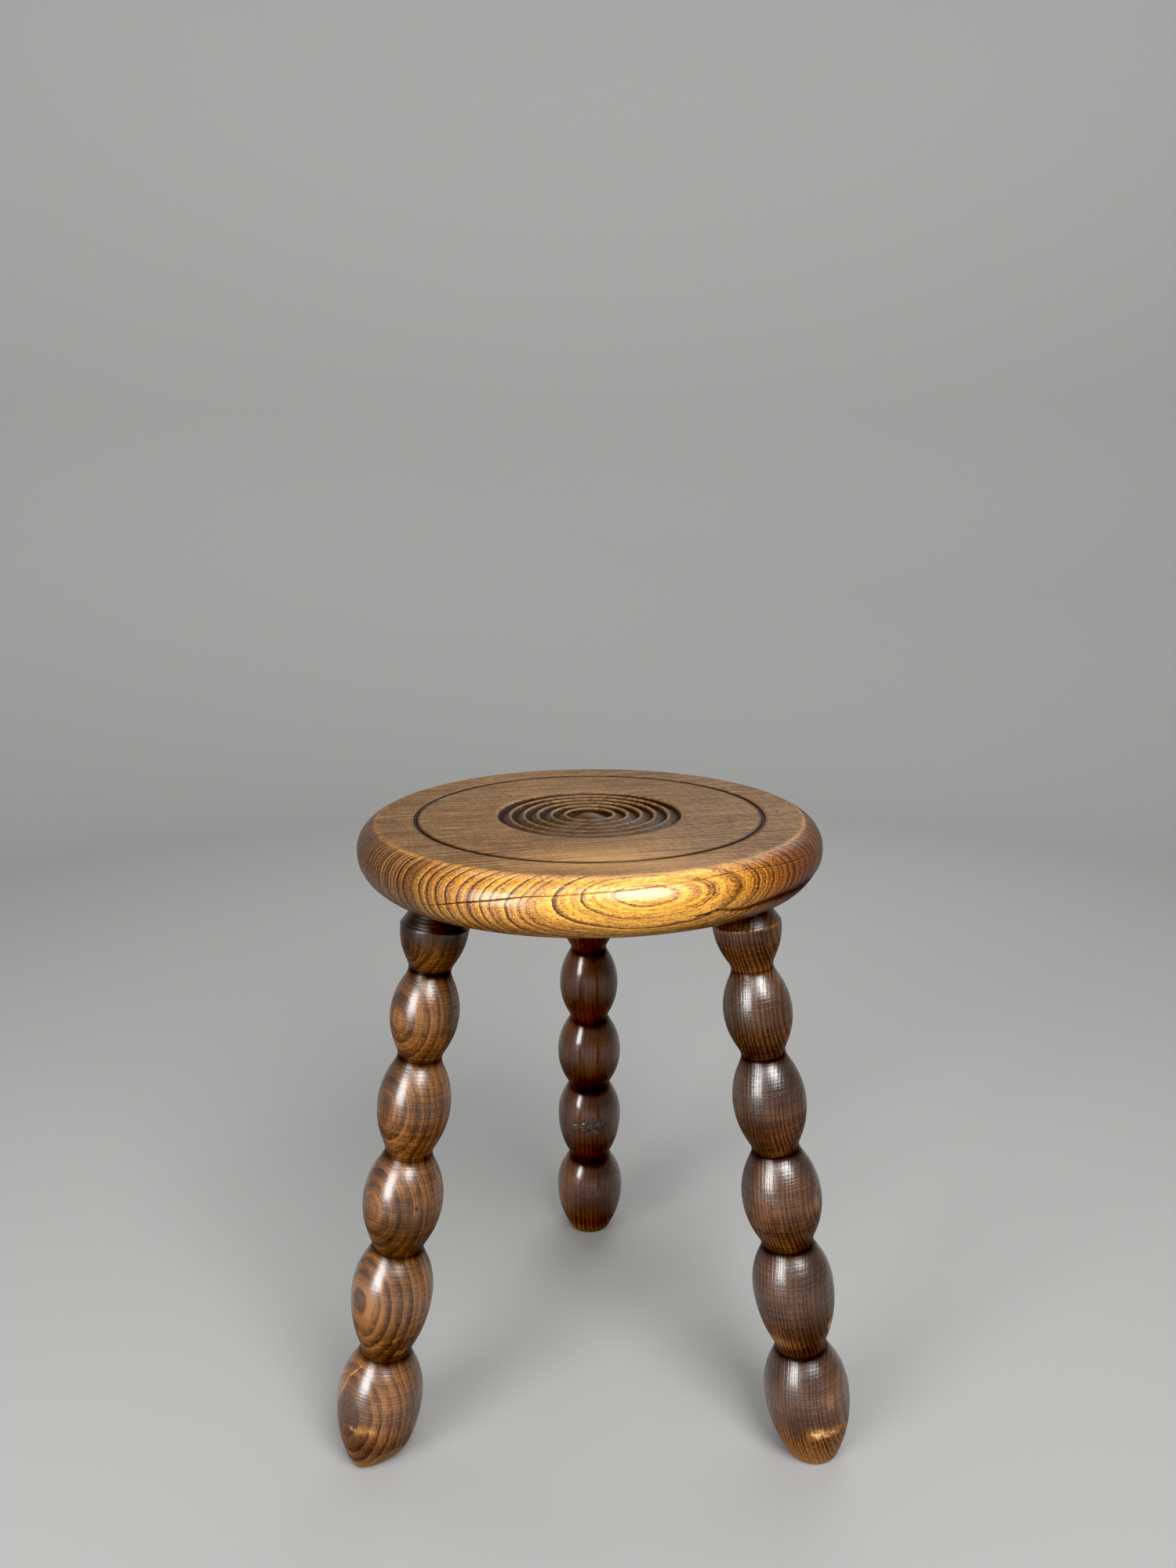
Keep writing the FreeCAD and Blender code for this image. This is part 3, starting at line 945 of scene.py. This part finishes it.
def left_marks(angle, height, radius):
    """Dents above the foot's neck, a pale scratch, worn spots on the foot, a hole, a knot, golden wear with a
    painted highlight on the second bobbin from the foot, and painted shade high up under the seat.
    """
    place = (angle, height, radius)
    dents = gouge(*place, [(10, 97), (22, 92), (38, 96), (50, 90), (56, 95)], 0.9)
    dents += gouge(*place, [(56, 94), (75, 96), (92, 100)], 0.9)
    dents += gouge(*place, [(40, 88), (56, 91), (66, 87)], 0.8)
    nicks = sum(gouge(*place, [(turn, 82), (turn + 5, 86)], 0.5) for turn in (84, 89, 94, 99, 104))
    scratch = gouge(*place, [(355, 47), (358, 50.5), (3, 62.5), (18, 70.5)], 0.7)
    pale = spot(*place, 32, 34, 6, 3) + spot(*place, 58, 36, 6, 3.5)
    pale *= 0.5 + 0.5 * ragged(*place, 43)
    hole = spot(*place, 87, 186, 1.3, 1.3)
    facet = np.maximum(radius * np.cos(np.radians(angle - 100)) + 0.9 * (15 - height) - 20, 0)
    facet *= height < 30
    sink = 0.5 * dents + 0.3 * nicks + 0.35 * scratch + 0.5 * facet + 0.8 * hole
    wear_and_painted_light = 0.25 * dents + 0.7 * nicks + 0.8 * scratch + 0.8 * pale + 0.25 * np.minimum(facet, 1)
    # Golden wear and a painted highlight on the second bobbin from the foot
    wear_and_painted_light += 0.34 * np.exp(-((height - 118) / 26) ** 2)
    # Dirt in the dents, a dark hole, and painted shade high up under the seat
    dirt_and_shade = 0.2 * dents + hole + 0.25 * smooth_step(height, 220, 340)
    return sink, dirt_and_shade, wear_and_painted_light, 2.2 * spot(*place, 15, 349, 7, 9)


def right_marks(angle, height, radius):
    """Golden wear patches, painted light on the lower halves of the bobbins and painted shade on their upper
    shoulders, less painted shade and a lighter colour near the seat, pale spots on the foot, and a nick.
    """
    place = (angle, height, radius)
    share = bobbin_share(height)
    # Painted light on the lower half of each bobbin
    gold_wear_and_light = 0.06 * smooth_step(-share, -0.6, -0.2)
    gold_wear_and_light += 0.3 * spot(*place, 280, 156, 14, 7) + 0.4 * spot(*place, 252, 88, 14, 6)
    gold_wear_and_light += 0.5 * spot(*place, 345, 180, 12, 8) + 0.2 * spot(*place, 300, 230, 14, 6)
    pale = spot(*place, 300, 30, 5, 4) + 0.7 * spot(*place, 320, 28, 10, 3)
    pale *= 0.4 + 0.6 * ragged(*place, 45)
    nick = spot(*place, 357, 95, 3, 4)
    scar = spot(*place, 325, 49, 4, 6)
    sink = 0.5 * nick + 0.4 * scar
    # Wear near the foot, and a lighter colour near the seat that offsets painted shade there
    gold_wear_and_light += 0.14 * smooth_step(-height, -45, -15) + 0.25 * smooth_step(height, 255, 300)
    # Painted shade on the upper shoulders, taken back near the seat
    dark = 0.3 * smooth_step(share, 0.5, 0.8) - 0.4 * smooth_step(height, 250, 300)
    return sink, dark, gold_wear_and_light + pale + nick + 0.4 * scar, np.zeros_like(sink)


def rear_marks(angle, height, radius):
    """Rough chipped scar on the second bobbin, a few nicks near the foot, and painted shade high up under the
    seat.
    """
    place = (angle, height, radius)
    scar = smooth_step(spot(*place, 180, 121, 14, 6), 0.15, 0.5)
    chipped = scar * ragged(*place, 41)
    nicks = spot(*place, 152, 22.5, 3, 2) + spot(*place, 190, 20, 3, 2)
    sink = 0.9 * chipped + 0.4 * nicks
    # Dirt in the scar, and painted shade high up under the seat
    dirt_and_shade = 0.6 * scar + 0.25 * smooth_step(height, 240, 340)
    return sink, dirt_and_shade, 0.6 * chipped * smooth_step(chipped, 0.5, 0.8), np.zeros_like(sink)


def make_stage():
    """Pale seamless floor that curves up into a wall all round."""
    columns = 96
    inner_rings = (200.0, 800.0)
    floor_radius = 1600.0
    curve = 900.0
    wall_top = 3000.0
    turn = np.linspace(0, math.pi / 2, 24)
    outline = [(radius, 0.0) for radius in inner_rings]
    outline += list(zip(floor_radius + curve * np.sin(turn), curve * (1 - np.cos(turn))))
    outline += [(floor_radius + curve, wall_top)]
    outline = np.array(outline)
    angle = np.linspace(0, 2 * math.pi, columns, endpoint=False)
    ring = np.stack([np.cos(angle), np.sin(angle)], axis=-1)
    cloud = [np.column_stack([radius * ring, np.full(len(ring), height)]) for radius, height in outline]
    cloud = np.concatenate(cloud + [[(0, 0, 0)]])
    faces = grid_faces(len(outline), columns, turned_over=True)
    faces += fan_faces(len(cloud) - 1, list(range(columns)))
    look = Look("stage_paint")
    shader = look.add("BsdfPrincipled", {"Base Color": (0.25, 0.25, 0.247, 1), "Roughness": 0.7})
    look.add("OutputMaterial", {"Surface": shader.outputs[0]})
    make_mesh("floor", cloud, faces, {}, look.material)


def area_light(name, place, target, width, height, power):
    """Soft rectangular light that isn't seen itself."""
    light = bpy.data.lights.new(name, "AREA")
    light.shape = "RECTANGLE"
    light.size = width
    light.size_y = height
    light.energy = power
    lamp = bpy.data.objects.new(name, light)
    lamp.location = place
    lamp.rotation_euler = (Vector(target) - Vector(place)).to_track_quat("-Z", "Y").to_euler()
    lamp.visible_camera = False
    bpy.context.scene.collection.objects.link(lamp)


def make_lights():
    """A high window to the right, a tall one to the left, a broad one above, and dim pale surroundings."""
    target = (0.0, axis_place[1] / MILLIMETRES, 0.3)
    area_light("right_window", (0.49, -1.11, 1.47), target, 0.75, 1.0, 35.0)
    area_light("left_window", (-1.14, -1.28, 0.74), target, 0.7, 1.1, 34.0)
    area_light("upper_window", (0.1, -1.25, 1.9), target, 2.6, 1.5, 36.0)
    area_light("wall_light", (0.0, 0.7, 2.3), (0.0, 2.4, 0.8), 2.4, 0.8, 38.0)
    area_light("rear_fill", (0.6, 1.4, 1.5), target, 1.2, 1.0, 7.0)
    world = bpy.data.worlds.new("surroundings")
    world.use_nodes = True
    background = world.node_tree.nodes["Background"]
    background.inputs["Color"].default_value = (0.82, 0.84, 0.85, 1)
    background.inputs["Strength"].default_value = 0.15
    bpy.context.scene.world = world


def make_camera():
    """Camera solved from the photograph, in metres, degrees and pixels."""
    place = Vector((-0.0071, -0.7312, 0.5924))
    pitch = 12.75
    yaw = 0.5
    roll = 0.31
    focal_pixels = 1435.3
    image_height_pixels = 2000
    camera = bpy.data.cameras.new("camera")
    camera.sensor_width = 36.0
    camera.lens = focal_pixels / image_height_pixels * camera.sensor_width
    eye = bpy.data.objects.new("camera", camera)
    turn = Matrix.Rotation(math.radians(-yaw), 4, "Z") @ Matrix.Rotation(math.radians(90 - pitch), 4, "X")
    turn = turn @ Matrix.Rotation(math.radians(-roll), 4, "Z")
    eye.matrix_world = Matrix.Translation(place) @ turn
    bpy.context.scene.collection.objects.link(eye)
    bpy.context.scene.camera = eye


left_wood = leg_wood(
    "left_leg_wood", light=(0.20, 0.080, 0.023), middle=(0.064, 0.0255, 0.009), dark=(0.010, 0.005, 0.003),
    pore_scale=(0.12, 1.4, 1.4), bands=0.42, ridges=0.02, scoring=0.16, coat_roughness=0.24)
right_wood = leg_wood(
    "right_leg_wood", light=(0.115, 0.046, 0.018), middle=(0.037, 0.0155, 0.0075),
    dark=(0.008, 0.0045, 0.003), pore_scale=(0.2, 1.6, 1.6), bands=0.55, ridges=0.2, scoring=0.15,
    coat_roughness=0.24)
rear_wood = leg_wood(
    "rear_leg_wood", light=(0.10, 0.031, 0.005), middle=(0.031, 0.0092, 0.0025), dark=(0.006, 0.0025, 0.0015),
    pore_scale=(0.1, 1.4, 1.4), bands=0.3, ridges=0.01, scoring=0.02, coat_roughness=0.18)

make_seat()
make_leg("leg_left", left_wood, growth_angle=math.radians(15), pith=55.0, layer_width=4.2, seed=21,
         marks=left_marks)
make_leg("leg_right", right_wood, growth_angle=math.radians(17), pith=80.0, layer_width=2.4, seed=22,
         marks=right_marks)
make_leg("leg_rear", rear_wood, growth_angle=math.radians(60), pith=60.0, layer_width=3.6, seed=23,
         marks=rear_marks)
make_stage()
make_lights()
make_camera()

scene = bpy.context.scene
scene.view_settings.view_transform = "Standard"
scene.view_settings.use_curve_mapping = True
scene.view_settings.curve_mapping.black_level = (0.018, 0.018, 0.018)
